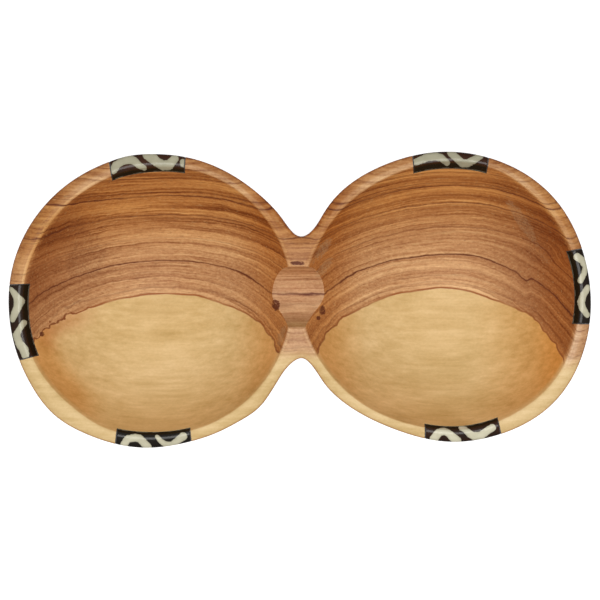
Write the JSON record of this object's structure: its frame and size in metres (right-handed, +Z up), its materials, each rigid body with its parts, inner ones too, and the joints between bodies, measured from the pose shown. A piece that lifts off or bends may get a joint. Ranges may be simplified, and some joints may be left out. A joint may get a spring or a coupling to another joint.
{
  "type": "olive dish",
  "caption": "Twin wooden dish of two round bowls carved side by side, joined by a scooped channel through the shared wall, with dyed bone tiles set flush in the rim.",
  "frame": {"origin": "middle of the bounding box, on the table plane under the dish", "axes": "+X along the row of two bowls, +Y from the front waist to the back waist, +Z up out of the hollows"},
  "size_m": [0.2036, 0.1035, 0.0355],
  "materials": {
    "wood": "oiled, satin",
    "bone": "polished, dyed dark with pale resist strokes",
    "glue": "cured dark adhesive"
  },
  "bodies": {
    "root": {"twin_bowl": "wood", "inlay_left_back": "bone", "inlay_left_side": "bone", "inlay_left_front": "bone", "inlay_right_back": "bone", "inlay_right_side": "bone", "inlay_right_front": "bone", "glue_left_back": "glue", "glue_left_side": "glue", "glue_left_front": "glue", "glue_right_back": "glue", "glue_right_side": "glue", "glue_right_front": "glue"}
  },
  "joints": []
}
